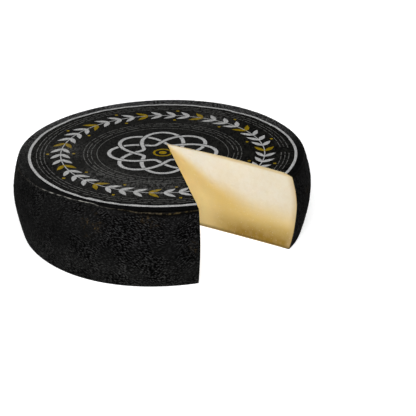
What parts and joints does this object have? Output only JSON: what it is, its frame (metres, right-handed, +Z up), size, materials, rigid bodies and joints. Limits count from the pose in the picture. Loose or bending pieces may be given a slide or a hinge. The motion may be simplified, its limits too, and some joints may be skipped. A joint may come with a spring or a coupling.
{
  "type": "wheel of hard cheese",
  "caption": "Low round wheel of hard cheese in a black rind, with a wedge cut out and a round paper label on top.",
  "frame": {"origin": "under the middle of the wheel's outline, on the surface that the wheel stands on", "axes": "+Z up through the wheel's thickness; the missing wedge opens between the front (-Y) and the right (+X)"},
  "size_m": [0.3452, 0.3558, 0.0932],
  "materials": {
    "rind": "satin",
    "paste": "satin",
    "label_paper": "satin"
  },
  "bodies": {
    "root": {"cheese_wheel": "rind", "paper_label": "label_paper"}
  },
  "joints": []
}
